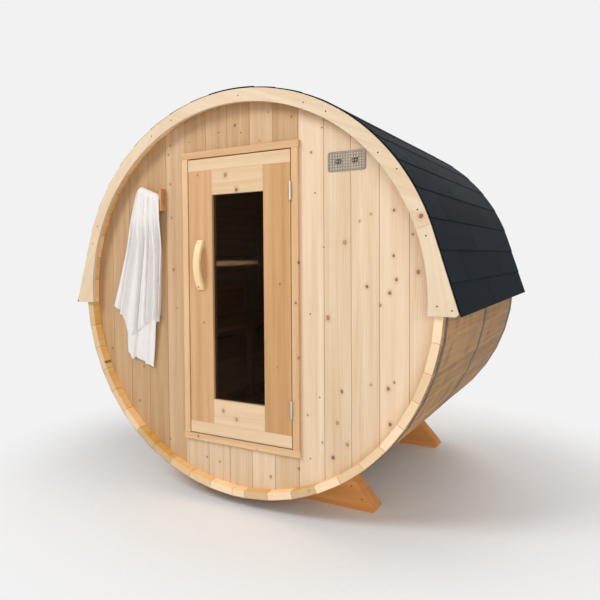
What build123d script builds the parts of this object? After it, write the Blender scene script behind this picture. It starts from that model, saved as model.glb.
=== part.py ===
from build123d import *

import os
from math import cos, pi, radians, sin, sqrt, tan

# Barrel sauna, in millimetres.
# The barrel lies along Y with its door facing -Y, X is to the right of someone facing the door, and Z is up.
# The origin is on the ground, at the middle of the whole sauna's outline.

# Barrel of staves
barrel_radius = 978.0
stave_length = 1829.0
stave_thickness = 36.0
full_staves = 46
filler_share = 0.52
stave_panels = 12
joint_chamfer = 2.0
ground_clearance = 55.0

# End walls, seated in grooves near the ends of the staves
wall_recess = 50.0
wall_thickness = 38.0
groove_depth = 12.0
seat_gap = 0.3

# Steel bands
band_width = 38.0
band_thickness = 1.2
band_inset = 60.0

# Door
door_width = 574.0
door_height = 1386.0
door_drop = 706.0
door_thickness = 38.0
door_gap = 5.0
door_setback = 2.0
stile_width = 142.0
outer_rail_height = 60.0
inner_rail_height = 122.0
glass_thickness = 6.0
glass_bite = 10.0
edge_chamfer = 1.5

# Door frame
casing_width = 34.0
casing_proud = 19.0
header_height = 34.0
sill_height = 33.0
casing_overhang = 3.0
stop_thickness = 12.0
stop_width = 16.0

# Butt hinges
hinge_height = 84.0
hinge_leaf_width = 30.0
hinge_leaf_thickness = 1.5
knuckle_radius = 6.0
knuckle_count = 5
knuckle_gap = 0.3
hinge_top_offset = 191.0
hinge_bottom_offset = 185.0

# Wooden pull handles
handle_length = 252.0
handle_width = 40.0
handle_reach = 50.0
handle_pad = 38.0
handle_bar = 22.0
handle_across = -214.0
handle_up = 150.0
handle_ease = 5.0

# Air vent
vent_across = 553.0
vent_up = 602.0
vent_width = 174.0
vent_height = 87.0
vent_plate = 3.0
vent_corner = 10.0
vent_rim = 9.0
vent_mesh_columns = 13
vent_mesh_rows = 6
vent_mesh_bar = 3.2
vent_bore = 30.0
vent_bore_pitch = 75.0

# Roof
fascia_thickness = 20.0
fascia_lap = 60.0
fascia_rise = 0.5
roof_rise = 3.0
flare_angle = 16.8
eave_drop = 56.0
right_joint_angle = 18.5
left_joint_angle = 116.0
fascia_corner = 15.0
fascia_joint = 0.8
deck_thickness = 1.5
shingle_butt = 5.0
shingle_head = 3.0
shingle_exposure = 137.0
shingle_setback = 5.0
ridge_cap_half = 125.0
ridge_cap_thickness = 6.5

# Cradles
cradle_inset = 283.0
cradle_thickness = 92.0
cradle_half_base = 618.0
cradle_half_top = 465.0
cradle_rounding = 18.0

# Benches and floor
bench_height = 800.0
bench_front = 425.0
bench_slat_width = 100.0
bench_slat_thickness = 27.0
bench_slats = 4
slat_gap = 14.0
bearer_height = 60.0
bearer_thickness = 38.0
bearer_inset = 120.0
back_rest_front = 855.0
back_rest_thickness = 20.0
back_rest_width = 58.0
back_rest_heights = (1032.0, 1146.0)
floor_height = 325.0
floor_slat_width = 110.0
floor_slat_thickness = 27.0
end_gap = 5.0

# Towel and its rail
rail_right = -449.0
rail_left = -590.0
rail_up = 490.0
post_width = 14.0
post_height = 115.0
post_reach = 38.0
bar_radius = 9.0
bar_reach = 25.0
towel_thickness = 48.0
towel_clearance = 0.8

# What follows from the sizes above
axis_height = barrel_radius + ground_clearance
stave_angle = 360.0 / (full_staves + filler_share)
filler_angle = stave_angle * filler_share
half_turn = cos(radians(stave_angle / 2))
inner_corner = barrel_radius - stave_thickness / half_turn
inner_radius = inner_corner * half_turn
wall_radius = inner_corner + groove_depth - seat_gap
fascia_inner_radius = barrel_radius - fascia_lap
fascia_outer_radius = barrel_radius + fascia_rise
roof_radius = barrel_radius + roof_rise
front_end = -stave_length / 2
back_end = stave_length / 2
wall_front = front_end + wall_recess
wall_back = wall_front + wall_thickness
far_wall_front = -wall_back
far_wall_back = -wall_front
casing_front = wall_front - casing_proud
door_half = door_width / 2
door_bottom = -door_drop
door_top = door_bottom + door_height
frame_inner = door_half + door_gap
frame_outer = frame_inner + casing_width
frame_bottom = door_bottom - door_gap
frame_top = door_top + door_gap
door_front = casing_front + door_setback
door_back = door_front + door_thickness
pin_x = door_half + door_gap / 2
pin_y = casing_front - knuckle_radius - 0.5


def polar(radius, angle):
    """A point at an angle from +X, seen from the door side."""
    return (radius * cos(radians(angle)), radius * sin(radians(angle)))


def slab(sketch, front, back):
    """A sketch around the barrel's axis, made solid from front to back along Y."""
    plane = Plane(origin=(0, back, axis_height), x_dir=(1, 0, 0), z_dir=(0, -1, 0))
    return extrude(plane * sketch, amount=back - front, dir=(0, -1, 0))


def block(left, right, front, back, low, high):
    """A box whose heights are measured from the barrel's axis."""
    width, depth, height = right - left, back - front, high - low
    centre = ((left + right) / 2, (front + back) / 2, axis_height + (low + high) / 2)
    return Pos(*centre) * Box(width, depth, height)


def board(left, right, front, back, low, high, run):
    """A block with its four long edges eased."""
    solid = block(left, right, front, back, low, high)
    return chamfer(solid.edges().filter_by(run), edge_chamfer)


def region(left, right, low, high):
    """A rectangle around the barrel's axis."""
    return Pos((left + right) / 2, (low + high) / 2) * Rectangle(right - left, high - low)


# Staves

def stave_edges():
    """The angles of the joints between staves, from the narrow closing stave at the bottom."""
    start = 270.0 - filler_angle / 3
    return [start, *(start + filler_angle + stave_angle * n for n in range(full_staves + 1))]


def chord_profile(start, end, outer, inner):
    """A flat stave's section between two joint angles, its corners on the joints."""
    return [polar(outer, start), polar(outer, end), polar(inner, end), polar(inner, start)]


def stave(start, end):
    """One flat stave with eased outer corners and a groove for each end wall."""
    corner_inner = barrel_radius - stave_thickness / cos(radians(end - start) / 2)
    outer = [Vector(*polar(barrel_radius, angle)) for angle in (start, end)]
    inner = [Vector(*polar(corner_inner, angle)) for angle in (start, end)]
    face = (outer[1] - outer[0]).normalized() * joint_chamfer
    sides = [(inner[n] - outer[n]).normalized() * joint_chamfer for n in (0, 1)]
    outline = [outer[0] + sides[0], outer[0] + face, outer[1] - face, outer[1] + sides[1],
               inner[1], inner[0]]
    solid = slab(Polygon(*[(p.X, p.Y) for p in outline], align=None), front_end, back_end)
    groove = Polygon(*chord_profile(start, end, corner_inner + groove_depth, corner_inner - 1), align=None)
    for front, back in ((wall_front, wall_back), (far_wall_front, far_wall_back)):
        solid -= slab(groove, front - seat_gap, back + seat_gap)
    return solid


def stave_panel(number):
    """A run of neighbouring staves, joined edge to edge."""
    edges = stave_edges()
    total = len(edges) - 1
    first = number * total // stave_panels
    last = (number + 1) * total // stave_panels
    panel = stave(edges[first], edges[first + 1])
    for n in range(first + 1, last):
        panel += stave(edges[n], edges[n + 1])
    return panel


def band(centre):
    """A steel strap pulled round all the staves."""
    corners = stave_edges()[:-1]
    outer = Polygon(*[polar(barrel_radius + band_thickness, a) for a in corners], align=None)
    inner = Polygon(*[polar(barrel_radius, a) for a in corners], align=None)
    return slab(outer - inner, centre - band_width / 2, centre + band_width / 2)


# End walls

def wall_disc():
    """An end wall's outline, cut to the flats at the bottom of the staves' grooves."""
    return Polygon(*[polar(wall_radius, angle) for angle in stave_edges()[:-1]], align=None)


def front_wall():
    """The front wall in four pieces around the doorway, with the vent's two bores."""
    disc = wall_disc()
    beyond = 2 * wall_radius
    low, high = frame_bottom - sill_height, frame_top + header_height
    bores = [Pos(vent_across + side * vent_bore_pitch / 2, vent_up) * Circle(vent_bore / 2)
             for side in (-1, 1)]
    pieces = {
        "front_wall_left": disc & region(-beyond, -frame_outer, -beyond, beyond),
        "front_wall_right": (disc & region(frame_outer, beyond, -beyond, beyond)) - bores,
        "front_wall_over_door": disc & region(-frame_outer, frame_outer, high, beyond),
        "front_wall_under_door": disc & region(-frame_outer, frame_outer, -beyond, low),
    }
    return {name: slab(sketch, wall_front, wall_back) for name, sketch in pieces.items()}


def back_wall():
    """The plain wall at the far end."""
    return slab(wall_disc(), far_wall_front, far_wall_back)


# Door frame

def door_frame():
    """Jambs, header and sill: each lines the opening, stands proud of the wall and stops the door."""
    stop_front = wall_back - stop_thickness
    inner_stop = frame_inner - stop_width
    pieces = {}
    for name, side in (("door_jamb_left", -1), ("door_jamb_right", 1)):
        near, far = sorted((side * frame_inner, side * frame_outer))
        jamb = board(near, far, casing_front, wall_back, frame_bottom, frame_top, Axis.Z)
        near, far = sorted((side * inner_stop, side * frame_inner))
        pieces[name] = jamb + block(near, far, stop_front, wall_back, frame_bottom, frame_top)
    front_half = frame_outer + casing_overhang
    for name, low, high, stop in (
            ("door_header", frame_top, frame_top + header_height, frame_top - stop_width),
            ("door_sill", frame_bottom - sill_height, frame_bottom, frame_bottom)):
        face = board(-front_half, front_half, casing_front, wall_front, low, high, Axis.X)
        member = face + block(-frame_outer, frame_outer, wall_front, wall_back, low, high)
        ends = (stop, stop + stop_width)
        pieces[name] = member + block(-inner_stop, inner_stop, stop_front, wall_back, *ends)
    return pieces


# Door leaf

def door_leaf():
    """Two full-width outer rails, stiles between them, inner rails between those, and the glass."""
    half_opening = door_half - stile_width
    stile_bottom, stile_top = door_bottom + outer_rail_height, door_top - outer_rail_height
    glass_bottom, glass_top = stile_bottom + inner_rail_height, stile_top - inner_rail_height
    middle = (door_front + door_back) / 2
    groove_half = glass_thickness / 2 + seat_gap
    groove = block(-half_opening - glass_bite, half_opening + glass_bite,
                   middle - groove_half, middle + groove_half,
                   glass_bottom - glass_bite, glass_top + glass_bite)
    span = (door_front, door_back)
    pieces = {
        "door_rail_top": board(-door_half, door_half, *span, stile_top, door_top, Axis.X),
        "door_rail_bottom": board(-door_half, door_half, *span, door_bottom, stile_bottom, Axis.X),
        "door_stile_left": board(-door_half, -half_opening, *span, stile_bottom, stile_top, Axis.Z),
        "door_stile_right": board(half_opening, door_half, *span, stile_bottom, stile_top, Axis.Z),
        "door_panel_top": board(-half_opening, half_opening, *span, glass_top, stile_top, Axis.X),
        "door_panel_bottom": board(-half_opening, half_opening, *span, stile_bottom, glass_bottom, Axis.X),
    }
    for name in ("door_stile_left", "door_stile_right", "door_panel_top", "door_panel_bottom"):
        pieces[name] -= groove
    reach = glass_bite - seat_gap
    pieces["door_glass"] = block(-half_opening - reach, half_opening + reach,
                                 middle - glass_thickness / 2, middle + glass_thickness / 2,
                                 glass_bottom - reach, glass_top + reach)
    return pieces


def handle(face, outward):
    """A bowed wooden pull on one face of the door; outward is -1 in front and 1 inside."""
    half = handle_length / 2
    outer = ThreePointArc((handle_bar / 2, -half), (handle_reach, 0), (handle_bar / 2, half))
    inner = ThreePointArc((0, half - handle_pad), (handle_reach - handle_bar, 0), (0, handle_pad - half))
    outline = [outer, Line(outer @ 1, (0, half)), Line((0, half), inner @ 0), inner,
               Line(inner @ 1, (0, -half)), Line((0, -half), outer @ 0)]
    plane = Plane(origin=(handle_across, face, axis_height + handle_up),
                  x_dir=(0, outward, 0), z_dir=(outward, 0, 0))
    solid = extrude(plane * make_face(Curve() + outline), amount=handle_width / 2, both=True)
    return chamfer(solid.edges().filter_by(GeomType.CIRCLE), handle_ease)


# Hinges

def hinge_half(side, centre):
    """Half of a butt hinge: its knuckles on the pin's line and its leaf in the door's gap."""
    step = hinge_height / knuckle_count
    bottom = centre - hinge_height / 2
    inner = door_gap / 2 - hinge_leaf_thickness
    near, far = sorted((pin_x + side * inner, pin_x + side * door_gap / 2))
    leaf_front = pin_y + knuckle_radius + 1.0
    solid = block(near, far, leaf_front, leaf_front + hinge_leaf_width, bottom, bottom + hinge_height)
    first = 0 if side > 0 else 1
    for n in range(first, knuckle_count, 2):
        low = bottom + n * step + knuckle_gap / 2
        high = bottom + (n + 1) * step - knuckle_gap / 2
        plane = Plane(origin=(pin_x, pin_y, axis_height + low), z_dir=(0, 0, 1))
        solid += extrude(plane * Circle(knuckle_radius), amount=high - low)
        solid += block(near, far, pin_y, leaf_front, low, high)
    return solid


def hinges():
    """Two hinges, each with a half on the frame and a half on the door."""
    pieces = {}
    for name, centre in (("upper", door_top - hinge_top_offset), ("lower", door_bottom + hinge_bottom_offset)):
        pieces[f"hinge_{name}_frame_half"] = hinge_half(1, centre)
        pieces[f"hinge_{name}_door_half"] = hinge_half(-1, centre)
    return pieces


# Vent

def vent_grille():
    """The rounded plate over the vent's bores, pierced with a mesh of square holes inside its rim."""
    wide = (vent_width - 2 * vent_rim + vent_mesh_bar) / vent_mesh_columns
    high = (vent_height - 2 * vent_rim + vent_mesh_bar) / vent_mesh_rows
    mesh = GridLocations(wide, high, vent_mesh_columns, vent_mesh_rows)
    holes = mesh * Rectangle(wide - vent_mesh_bar, high - vent_mesh_bar)
    plate = RectangleRounded(vent_width, vent_height, vent_corner) - holes
    return slab(Pos(vent_across, vent_up) * plate, wall_front - vent_plate, wall_front)


# Roof

def roof_line(radius):
    """Points and arcs of the roof's outline: a round top and straight tails that flare to the eaves."""
    tail = polar(radius, flare_angle)
    drop = tail[1] + eave_drop
    eave = (tail[0] + drop * tan(radians(flare_angle)), -eave_drop)
    return tail, eave


def roof_shell(outer, inner):
    """The region between two roof lines, closed at the eaves."""
    outline = []
    for radius, turn in ((outer, 1), (inner, -1)):
        tail, eave = roof_line(radius)
        run = [Line(eave, tail), ThreePointArc(tail, (0, radius), (-tail[0], tail[1])),
               Line((-tail[0], tail[1]), (-eave[0], eave[1]))]
        outline += run
    (_, outer_eave), (_, inner_eave) = roof_line(outer), roof_line(inner)
    outline += [Line(outer_eave, inner_eave),
                Line((-outer_eave[0], outer_eave[1]), (-inner_eave[0], inner_eave[1]))]
    return make_face(Curve() + outline)


def fascia_face():
    """A bargeboard's face: flared outside, round inside."""
    tail, eave = roof_line(fascia_outer_radius)
    inner_x = sqrt(fascia_inner_radius ** 2 - eave_drop ** 2)
    outline = [Line(eave, tail), ThreePointArc(tail, (0, fascia_outer_radius), (-tail[0], tail[1])),
               Line((-tail[0], tail[1]), (-eave[0], eave[1])), Line((-eave[0], eave[1]), (-inner_x, eave[1])),
               ThreePointArc((-inner_x, eave[1]), (0, fascia_inner_radius), (inner_x, eave[1])),
               Line((inner_x, eave[1]), eave)]
    face = make_face(Curve() + outline)
    return fillet([v for v in face.vertices() if abs(v.X) > eave[0] - 1], fascia_corner)


def sector(start, end):
    """A wedge from the barrel's axis that reaches past the roof, less half a joint at either side."""
    reach = 2 * roof_radius
    joint = fascia_joint / 2 / radians(1) / roof_radius
    start, end = start + joint, end - joint
    middle = (start + end) / 2
    return Polygon((0, 0), polar(reach, start), polar(reach, middle), polar(reach, end), align=None)


def fascias():
    """The bargeboards at both ends, each in three lengths."""
    face = fascia_face()
    spans = (("right", -30.0, right_joint_angle), ("crown", right_joint_angle, left_joint_angle),
             ("left", left_joint_angle, 210.0))
    pieces = {}
    for place, start, end in spans:
        part = face & sector(start, end)
        pieces[f"fascia_front_{place}"] = slab(part, front_end - fascia_thickness, front_end)
        pieces[f"fascia_back_{place}"] = slab(part, back_end, back_end + fascia_thickness)
    return pieces


def roof_run():
    """The length along the roof's line of its straight tail, and of one whole side up to the ridge."""
    tail, eave = roof_line(roof_radius)
    straight = sqrt((eave[0] - tail[0]) ** 2 + (tail[1] - eave[1]) ** 2)
    return straight, straight + roof_radius * radians(90 - flare_angle)


def roof_point(run, lift):
    """A point at a distance up the roof's line from the right eave, lifted off the deck."""
    straight, _ = roof_run()
    tail, _ = roof_line(roof_radius)
    normal = flare_angle + max(run - straight, 0) * 180 / pi / roof_radius
    foot = polar(roof_radius + lift, normal)
    short = min(run - straight, 0)
    return foot[0] - short * sin(radians(normal)), foot[1] + short * cos(radians(normal))


def shingle_side():
    """The right half of the shingles: overlapping courses, each thick at its butt and thin at its head."""
    straight, whole = roof_run()
    cap = whole - ridge_cap_half
    starts = [n * shingle_exposure for n in range(int(cap // shingle_exposure) + 1)]
    points = [roof_point(0, 0)]
    for start, end in zip(starts, [*starts[1:], cap]):
        steps = sorted({start, (start + end) / 2, end} | ({straight} if start < straight < end else set()))
        for run in steps:
            share = (run - start) / shingle_exposure
            points.append(roof_point(run, shingle_butt + (shingle_head - shingle_butt) * share))
    points += [roof_point(run, ridge_cap_thickness) for run in (cap, (cap + whole) / 2, whole)]
    tail, eave = roof_line(roof_radius)
    middle = polar(roof_radius, (90 + flare_angle) / 2)
    outline = [Polyline(*points), Line(points[-1], (0, roof_radius)),
               ThreePointArc((0, roof_radius), middle, tail), Line(tail, eave)]
    return make_face(Curve() + outline)


def roof():
    """The deck between the bargeboards and the shingles over it, each in two halves."""
    deck = roof_shell(roof_radius, roof_radius - deck_thickness)
    far = 2 * roof_radius
    reach = stave_length / 2 + fascia_thickness - shingle_setback
    courses = slab(shingle_side(), -reach, reach)
    pieces = {"shingles_right": courses, "shingles_left": mirror(courses, about=Plane.YZ)}
    for side, left, right in (("left", -far, 0), ("right", 0, far)):
        pieces[f"roof_deck_{side}"] = slab(deck & region(left, right, -far, far), front_end, back_end)
    return pieces


# Cradles

def cradle(front):
    """A saddle cut to the barrel, with sloping ends and rounded toes."""
    top = -sqrt(barrel_radius ** 2 - cradle_half_top ** 2)
    profile = Polygon((-cradle_half_base, -axis_height), (cradle_half_base, -axis_height),
                      (cradle_half_top, top), (-cradle_half_top, top), align=None)
    toes = [v for v in profile.vertices() if v.Y < top - 1]
    return slab(fillet(toes, cradle_rounding) - Circle(barrel_radius + seat_gap), front, front + cradle_thickness)


# Benches and floor

def bearer_places():
    """Where the cross bearers of the benches and the floor stand along Y."""
    first = wall_back + bearer_inset
    return [first, -bearer_thickness / 2, -first - bearer_thickness]


def bench(side):
    """A slatted bench along one wall, on bearers cut to the barrel, with legs and a two-rail back rest."""
    fit = inner_radius - seat_gap
    top = bench_height - axis_height
    slat_low = top - bench_slat_thickness
    low = slat_low - bearer_height
    floor_top = floor_height - axis_height
    leg_back = bench_front + bearer_thickness
    bearer = Circle(fit) & region(bench_front, fit, low, slat_low)
    post = back_rest_front + back_rest_thickness
    rest_top = back_rest_heights[-1] + back_rest_width - axis_height
    upright = Circle(fit) & region(post, post + back_rest_thickness, low, rest_top)
    frame = bearer + region(bench_front, leg_back, floor_top, slat_low) + upright
    solid = None
    for front in bearer_places():
        piece = slab(frame, front, front + bearer_thickness)
        solid = piece if solid is None else solid + piece
    for n in range(bench_slats):
        left = bench_front + n * (bench_slat_width + slat_gap)
        solid += block(left, left + bench_slat_width, wall_back + end_gap, far_wall_front - end_gap,
                       slat_low, top)
    for height in back_rest_heights:
        rail = height - axis_height
        solid += block(back_rest_front, post, wall_back + end_gap, far_wall_front - end_gap,
                       rail, rail + back_rest_width)
    return solid if side > 0 else mirror(solid, about=Plane.YZ)


def floor():
    """A slatted floor along the barrel, on bearers cut to the staves."""
    top = floor_height - axis_height
    slat_low = top - floor_slat_thickness
    fit = inner_radius - seat_gap
    half = sqrt(fit ** 2 - slat_low ** 2)
    low = slat_low - bearer_height
    bearer = Circle(fit) & region(-half, half, low, slat_low)
    pitch = floor_slat_width + slat_gap
    count = int((2 * half + slat_gap) // pitch)
    solid = None
    for front in bearer_places():
        piece = slab(bearer, front, front + bearer_thickness)
        solid = piece if solid is None else solid + piece
    for n in range(count):
        left = (n - count / 2) * pitch + slat_gap / 2
        solid += block(left, left + floor_slat_width, wall_back + end_gap, far_wall_front - end_gap,
                       slat_low, top)
    return solid


# Towel

def towel_rail(clearance=0.0):
    """Two small posts on the wall with a round bar between them, grown all round by a clearance."""
    half = post_height / 2 + clearance
    front = wall_front - post_reach - clearance
    rail = None
    for left in (rail_left, rail_right - post_width):
        post = block(left - clearance, left + post_width + clearance, front, wall_front,
                     rail_up - half, rail_up + half)
        rail = post if rail is None else rail + post
    plane = Plane(origin=(rail_left, wall_front - bar_reach, axis_height + rail_up), z_dir=(1, 0, 0))
    return rail + extrude(plane * Circle(bar_radius + clearance), amount=rail_right - rail_left)


def towel():
    """The space of the hanging towel: over the bar, and clear of the wall and the rail."""
    outline = [(-598, 574), (-473, 518), (-485, -150), (-503, -150), (-534, -395), (-669, -362),
               (-703, -324), (-730, -121), (-796, -76)]
    back = wall_front - towel_clearance
    return slab(Polygon(*outline, align=None), back - towel_thickness, back) - towel_rail(towel_clearance)


def build():
    """Every piece of the sauna by its name."""
    pieces = {f"staves_{n + 1:02d}": stave_panel(n) for n in range(stave_panels)}
    pieces["band_front"] = band(front_end + band_inset)
    pieces["band_middle"] = band(0.0)
    pieces["band_back"] = band(back_end - band_inset)
    pieces |= front_wall()
    pieces["back_wall"] = back_wall()
    pieces |= door_frame()
    pieces |= door_leaf()
    pieces["door_handle_outside"] = handle(door_front, -1)
    pieces["door_handle_inside"] = handle(door_back, 1)
    pieces |= hinges()
    pieces["vent_grille"] = vent_grille()
    pieces |= fascias()
    pieces |= roof()
    pieces["cradle_front"] = cradle(front_end + cradle_inset)
    pieces["cradle_back"] = cradle(back_end - cradle_inset - cradle_thickness)
    pieces["bench_left"] = bench(-1)
    pieces["bench_right"] = bench(1)
    pieces["floor"] = floor()
    pieces["towel_hook"] = towel_rail()
    pieces["towel"] = towel()
    return pieces


os.makedirs("parts", exist_ok=True)
for name, solid in build().items():
    solid.label = name
    export_step(solid, f"parts/{name}.step")
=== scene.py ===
import random
from itertools import pairwise
from math import cos, pi, radians, sin, sqrt
import bmesh
import bpy
from bpy.props import FloatProperty, FloatVectorProperty, PointerProperty
from mathutils import Matrix, Vector


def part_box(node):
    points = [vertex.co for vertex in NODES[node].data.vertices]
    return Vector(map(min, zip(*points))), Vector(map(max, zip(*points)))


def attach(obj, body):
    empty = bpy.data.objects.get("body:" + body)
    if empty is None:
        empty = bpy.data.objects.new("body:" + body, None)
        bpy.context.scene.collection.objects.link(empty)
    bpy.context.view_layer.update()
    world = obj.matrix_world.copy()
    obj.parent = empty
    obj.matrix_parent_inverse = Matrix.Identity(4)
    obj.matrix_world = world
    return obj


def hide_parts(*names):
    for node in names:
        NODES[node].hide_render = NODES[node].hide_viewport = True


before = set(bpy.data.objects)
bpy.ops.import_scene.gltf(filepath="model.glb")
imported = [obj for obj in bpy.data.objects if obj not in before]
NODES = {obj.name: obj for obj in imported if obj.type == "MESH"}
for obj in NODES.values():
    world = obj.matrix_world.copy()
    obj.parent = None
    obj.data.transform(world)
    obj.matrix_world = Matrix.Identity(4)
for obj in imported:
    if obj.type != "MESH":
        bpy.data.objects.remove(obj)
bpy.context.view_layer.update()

bl_info = {
    "name": "Barrel sauna finish",
    "version": (1, 0, 0),
    "blender": (4, 5, 0),
    "location": "View3D > Sidebar > Sauna",
    "description": "Boards, shingles, fittings and finishes of a barrel sauna",
    "category": "Object",
}

# Real sizes, in metres, that the looks share with the solid model
AXIS_HEIGHT = 1.033
BARREL_RADIUS = 0.978
STAVE_HALF_LENGTH = 0.9145
FILLER_SHARE = 0.52
STAVE_ANGLE = 360 / (46 + FILLER_SHARE)
STAVE_WIDTH = BARREL_RADIUS * radians(STAVE_ANGLE)
ROOF_RADIUS = 0.981
ROOF_END = STAVE_HALF_LENGTH + 0.0148
FLARE_ANGLE = 16.8
EAVE_DROP = 0.056
WALL_FRONT = -0.8645
WALL_MIDDLE = -0.8455
WALL_ORIGIN = (0, WALL_MIDDLE, AXIS_HEIGHT)
DOOR_FRONT = -0.8815
HANDLE_DEPTH = 0.0228
HANDLE_ROUNDING = 0.0022
FASCIA_FACE = 0.9345
CRADLE_FRONT = -0.6315

# Shingles, in metres: the thickness at the butt and the head, how far one course laps the next, the slit between two
# neighbours, how far a slit strays from its place, and the felt under each course, a sheet painted darkest as painted
# shade in the slits
SHINGLE_BUTT = 0.0048
SHINGLE_HEAD = 0.0020
SHINGLE_LAP = 0.02
SHINGLE_SLIT = 0.003
SHINGLE_STRAY = 0.03
FELT_AND_SHADE_SHEET = 0.0006
RIDGE_CAP_HALF = 0.125
RIDGE_CAP_LENGTH = 0.30
RIDGE_CAP_THICKNESS = 0.0062

# The photo's camera: its place in metres, its yaw, pitch and roll in radians, and its focal length, centre and picture
# width in pixels
CAMERA_PLACE = (1.5629, -3.4311, 1.2195)
CAMERA_TURN = (-0.5789, -0.0355, -0.011)
FOCAL = 616.1
CENTRE = (219.64, 279.45)
PICTURE = 600
SENSOR = 36.0

# Lamps, as (name, place, aim, width, height, spread in degrees, power in watts). The last one lights a back rest
# inside, so that it shows through the glass.
LAMPS = (("key", (-2.2, -4.8, 4.6), (0.1, -0.6, 0.9), 2.4, 2.4, 180, 172),
         ("fill", (3.4, -4.6, 2.0), (0.3, -0.4, 1.0), 3.0, 3.0, 180, 85),
         ("rear", (1.0, 4.5, 4.0), (0.0, 0.5, 1.0), 3.0, 3.0, 180, 120),
         ("cabin", (-0.55, 0.10, 1.177), (-0.85, 0.10, 1.177), 1.5, 0.02, 8, 0.09))

# The larger knots, as (across, up from the barrel's axis, radius)
WALL_KNOTS = (
    (-0.017, 0.826, 0.0064), (0.119, 0.738, 0.0034),
    (-0.413, 0.771, 0.0047), (-0.425, 0.725, 0.0052), (0.166, 0.865, 0.0039),
    (0.289, 0.828, 0.0043), (0.385, 0.655, 0.0052),
    (-0.416, 0.572, 0.0043), (-0.410, 0.397, 0.0047), (-0.401, 0.125, 0.0064),
    (0.544, 0.247, 0.0099), (0.611, 0.338, 0.0056), (0.661, 0.366, 0.0047), (0.761, 0.377, 0.0064),
    (0.760, 0.186, 0.0060), (0.839, 0.274, 0.0047), (0.862, 0.119, 0.0090), (0.771, 0.086, 0.0064),
    (0.643, 0.055, 0.0069), (0.742, 0.029, 0.0077), (0.702, -0.025, 0.0060), (0.463, -0.088, 0.0103),
    (0.527, -0.414, 0.0073), (0.361, -0.541, 0.0043),
    (0.506, -0.558, 0.0086), (0.433, -0.657, 0.0043), (0.552, -0.648, 0.0086),
    (0.484, -0.718, 0.0082), (0.660, -0.370, 0.0052), (0.762, -0.349, 0.0047), (0.735, -0.379, 0.0077),
    (0.743, -0.531, 0.0077), (0.314, -0.798, 0.0069), (-0.383, -0.074, 0.0052), (-0.838, -0.318, 0.0082),
    (-0.612, -0.401, 0.0056), (-0.645, -0.592, 0.0056), (-0.203, -0.830, 0.0052), (-0.125, -0.842, 0.0047),
    (0.166, -0.864, 0.0069))
STILE_KNOTS = ((-0.230, 0.601, 0.0046), (-0.199, -0.139, 0.0042), (0.231, 0.059, 0.0046), (0.214, -0.330, 0.0042))
PANEL_KNOTS = ((-0.064, 0.590, 0.0101), (-0.001, 0.513, 0.0084), (-0.090, -0.577, 0.0092), (-0.013, -0.609, 0.0092))
JAMB_KNOTS = ((0.328, 0.160, 0.006), (0.313, -0.025, 0.005), (0.322, -0.278, 0.006))
SILL_KNOTS = ((-0.242, -0.724, 0.005), (0.102, -0.745, 0.005))
FASCIA_KNOTS = ((0.891, 0.343, 0.009),)
STAVE_KNOTS = ((0.388, -0.872, 0.006), (-0.856, -0.392, 0.006))

# Screws, as (across, up from the barrel's axis), but up from the ground on the cradles
FASCIA_SCREWS = ((0.045, 0.946), (0.380, 0.865), (0.486, 0.811), (0.716, 0.612), (0.795, 0.538), (0.877, 0.369),
                 (0.910, 0.264), (0.953, -0.016), (1.010, -0.031), (-0.351, 0.882), (-0.480, 0.817),
                 (-0.874, 0.367), (-0.913, 0.271))
WALL_SCREWS = ((0.403, 0.472), (0.444, 0.228), (0.376, -0.075), (0.421, -0.452), (0.373, -0.741), (-0.291, 0.775),
               (-0.111, 0.803), (0.017, 0.788), (-0.436, -0.774), (0.437, 0.760))
CRADLE_SCREWS = ((0.479, 0.1106), (0.533, 0.0557))
HANDLE_SCREWS = ((-0.216, 0.2566), (-0.216, 0.0394))
SCREW_DEPTH = 0.0016
SCREW_PROUD = 0.00005

# The towel's lower edge, as (share of its width, across, up from the barrel's axis)
TOWEL_HEM = ((0.0, -0.796, -0.076), (0.18, -0.730, -0.121), (0.27, -0.703, -0.324), (0.37, -0.669, -0.362),
             (0.43, -0.655, -0.345), (0.80, -0.534, -0.395), (0.87, -0.503, -0.150), (1.0, -0.485, -0.150))


def linear(hex_colour):
    """An sRGB hex colour as the linear red, green, blue and alpha that shaders take."""
    channels = [int(hex_colour[n:n + 2], 16) / 255 for n in (1, 3, 5)]
    return (*[c / 12.92 if c <= 0.04045 else ((c + 0.055) / 1.055) ** 2.4 for c in channels], 1.0)


# Materials

def add(tree, kind, values=(), stops=(), **settings):
    """Adds a node with its settings. Values go to inputs in order, by number or by name, and nodes are linked."""
    made = tree.nodes.new("ShaderNode" + kind)
    for name, value in settings.items():
        setattr(made, name, value)
    for socket, value in values.items() if isinstance(values, dict) else enumerate(values):
        source = value.outputs[0] if isinstance(value, bpy.types.Node) else value
        if isinstance(source, bpy.types.NodeSocket):
            tree.links.new(source, made.inputs[socket])
        else:
            made.inputs[socket].default_value = source
    for n, (place, colour) in enumerate(stops):
        points = made.color_ramp.elements
        point = points[n] if n < 2 else points.new(place)
        point.position, point.color = place, linear(colour)
    return made


def start(name):
    """A new material and its empty tree."""
    material = bpy.data.materials.new(name)
    material.use_nodes = True
    material.node_tree.nodes.clear()
    return material, material.node_tree


def surface(tree, values):
    """Ends a tree in one Principled shader with these socket values."""
    shader = add(tree, "BsdfPrincipled", values)
    add(tree, "OutputMaterial", {"Surface": shader})


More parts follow.
